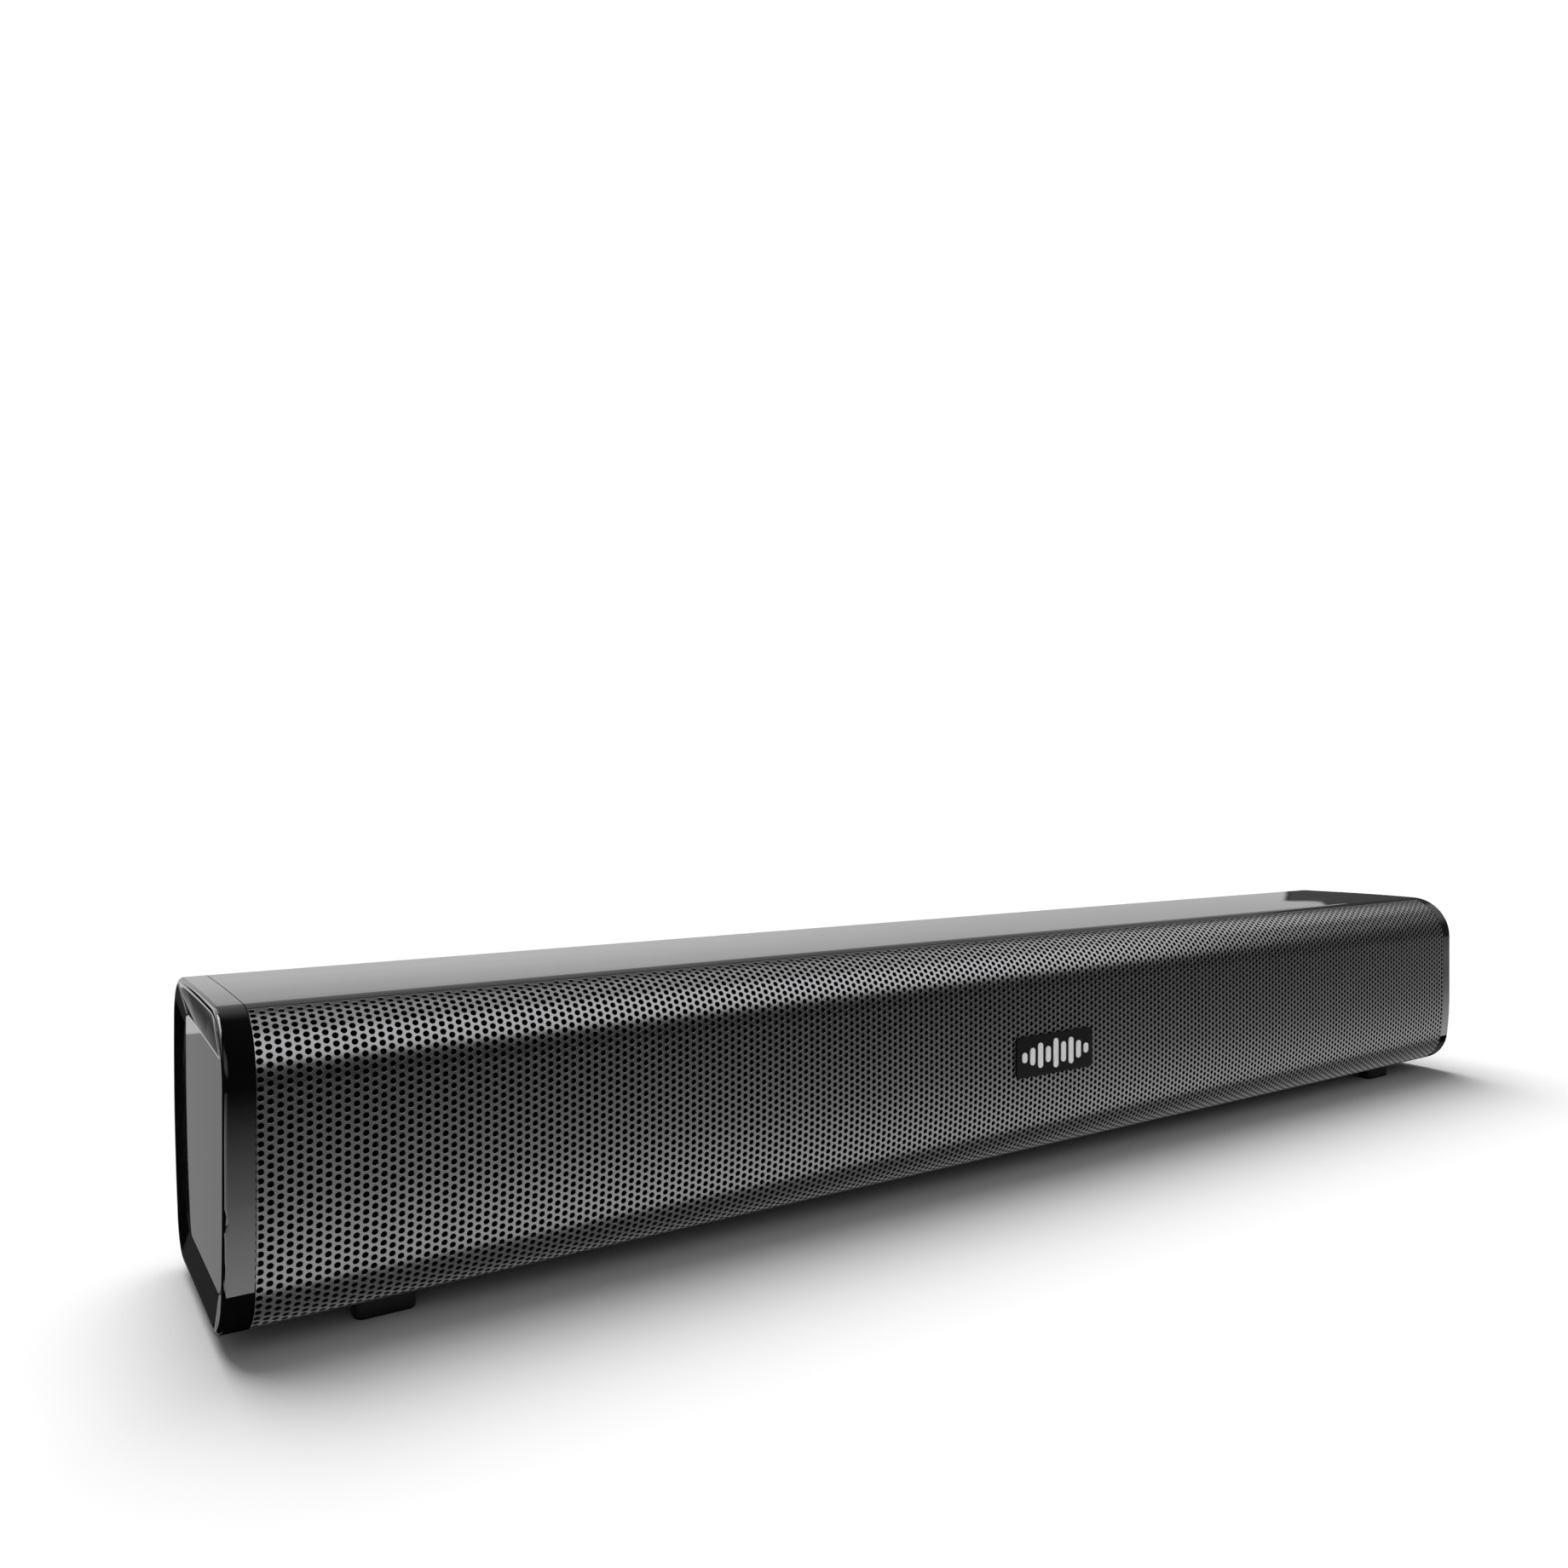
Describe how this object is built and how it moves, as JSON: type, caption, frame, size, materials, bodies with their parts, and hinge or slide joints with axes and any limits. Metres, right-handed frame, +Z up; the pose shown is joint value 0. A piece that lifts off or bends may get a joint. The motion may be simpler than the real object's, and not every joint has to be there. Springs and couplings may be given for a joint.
{
  "type": "soundbar",
  "caption": "Low bar loudspeaker with a wrapped perforated metal front, gloss top and end caps, side buttons, rear sockets and rubber feet.",
  "frame": {"origin": "middle of the bounding box, on the plane that the four feet stand on", "axes": "+X along the bar to the listener's right, -Y to the front with the grille, +Z up"},
  "size_m": [0.48, 0.0812, 0.0734],
  "materials": {
    "grille_metal": "satin gunmetal paint on perforated steel",
    "black_cloth": "thin black acoustic cloth",
    "gloss_black": "piano-black gloss ABS",
    "badge_black": "satin black plastic plate",
    "panel_gloss": "gloss charcoal plastic",
    "matte_black": "fine textured black ABS",
    "badge_silver": "light grey satin print, raised",
    "screw_steel": "black zinc plated steel",
    "brass": "plain turned brass",
    "board_green": "glass-epoxy circuit board with green solder mask",
    "chip_black": "black epoxy moulding",
    "sink_aluminium": "extruded, satin",
    "capacitor_sleeve": "shrink sleeve over aluminium can",
    "foot_rubber": "black rubber, matt",
    "button_rubber": "satin black plastic",
    "socket_plastic": "black nylon",
    "socket_metal": "nickel plated shell",
    "wire_sleeve": "PVC insulation",
    "frame_steel": "black painted steel basket",
    "zinc_steel": "zinc plated steel",
    "ferrite": "sintered ferrite",
    "cone_paper": "pressed black paper pulp",
    "copper_coil": "enamelled copper winding on a former",
    "surround_rubber": "thin butyl rubber half-roll",
    "spider_cloth": "phenolic-dipped cloth"
  },
  "bodies": {
    "case": {"front_grille": "grille_metal", "dust_cloth": "black_cloth", "top_cover": "gloss_black", "rear_cover": "matte_black", "bottom_housing": "matte_black", "front_baffle": "matte_black", "terminal_plate": "matte_black", "left_end_cap": "gloss_black", "right_end_cap": "gloss_black", "left_end_panel": "panel_gloss", "right_end_panel": "panel_gloss", "badge_plate": "badge_black", "badge_bars": "badge_silver", "driver_screws": "screw_steel", "case_screws": "screw_steel", "board_screws": "screw_steel", "wall_mount_inserts": "brass", "amplifier_board": "board_green", "amplifier_chip": "chip_black", "heat_sink": "sink_aluminium", "filter_capacitors": "capacitor_sleeve", "button_board": "board_green", "button_switches": "chip_black", "receiver_board": "board_green", "infrared_receiver": "chip_black", "front_left_foot": "foot_rubber", "front_right_foot": "foot_rubber", "rear_left_foot": "foot_rubber", "rear_right_foot": "foot_rubber", "subwoofer_socket": "socket_plastic", "power_inlet": "socket_plastic", "aux_socket": "socket_plastic", "usb_socket": "socket_metal", "optical_socket": "socket_plastic", "left_speaker_wire": "wire_sleeve", "right_speaker_wire": "wire_sleeve", "button_wire": "wire_sleeve", "receiver_wire": "wire_sleeve", "left_driver_frame": "frame_steel", "left_top_plate": "zinc_steel", "left_magnet": "ferrite", "left_pole_plate": "zinc_steel", "left_surround": "surround_rubber", "left_spider": "spider_cloth", "right_driver_frame": "frame_steel", "right_top_plate": "zinc_steel", "right_magnet": "ferrite", "right_pole_plate": "zinc_steel", "right_surround": "surround_rubber", "right_spider": "spider_cloth"},
    "left_cone": {"left_cone": "cone_paper", "left_dust_cap": "cone_paper", "left_voice_coil": "copper_coil"},
    "right_cone": {"right_cone": "cone_paper", "right_dust_cap": "cone_paper", "right_voice_coil": "copper_coil"},
    "power_button": {"power_button": "button_rubber"},
    "source_button": {"source_button": "button_rubber"},
    "volume_up_button": {"volume_up_button": "button_rubber"},
    "volume_down_button": {"volume_down_button": "button_rubber"}
  },
  "joints": [
    {"name": "left_cone_stroke", "type": "slide", "parent": "case", "child": "left_cone", "axis": [0, -1, 0], "range_m": [-0.002, 0.002], "stiffness_N_per_m": 1500, "deforming": ["left_surround", "left_spider"]},
    {"name": "right_cone_stroke", "type": "slide", "parent": "case", "child": "right_cone", "axis": [0, -1, 0], "range_m": [-0.002, 0.002], "stiffness_N_per_m": 1500, "deforming": ["right_surround", "right_spider"]},
    {"name": "power_press", "type": "slide", "parent": "case", "child": "power_button", "axis": [-1, 0, 0], "range_m": [0, 0.0006], "stiffness_N_per_m": 600},
    {"name": "source_press", "type": "slide", "parent": "case", "child": "source_button", "axis": [-1, 0, 0], "range_m": [0, 0.0006], "stiffness_N_per_m": 600},
    {"name": "volume_up_press", "type": "slide", "parent": "case", "child": "volume_up_button", "axis": [-1, 0, 0], "range_m": [0, 0.0006], "stiffness_N_per_m": 600},
    {"name": "volume_down_press", "type": "slide", "parent": "case", "child": "volume_down_button", "axis": [-1, 0, 0], "range_m": [0, 0.0006], "stiffness_N_per_m": 600}
  ]
}
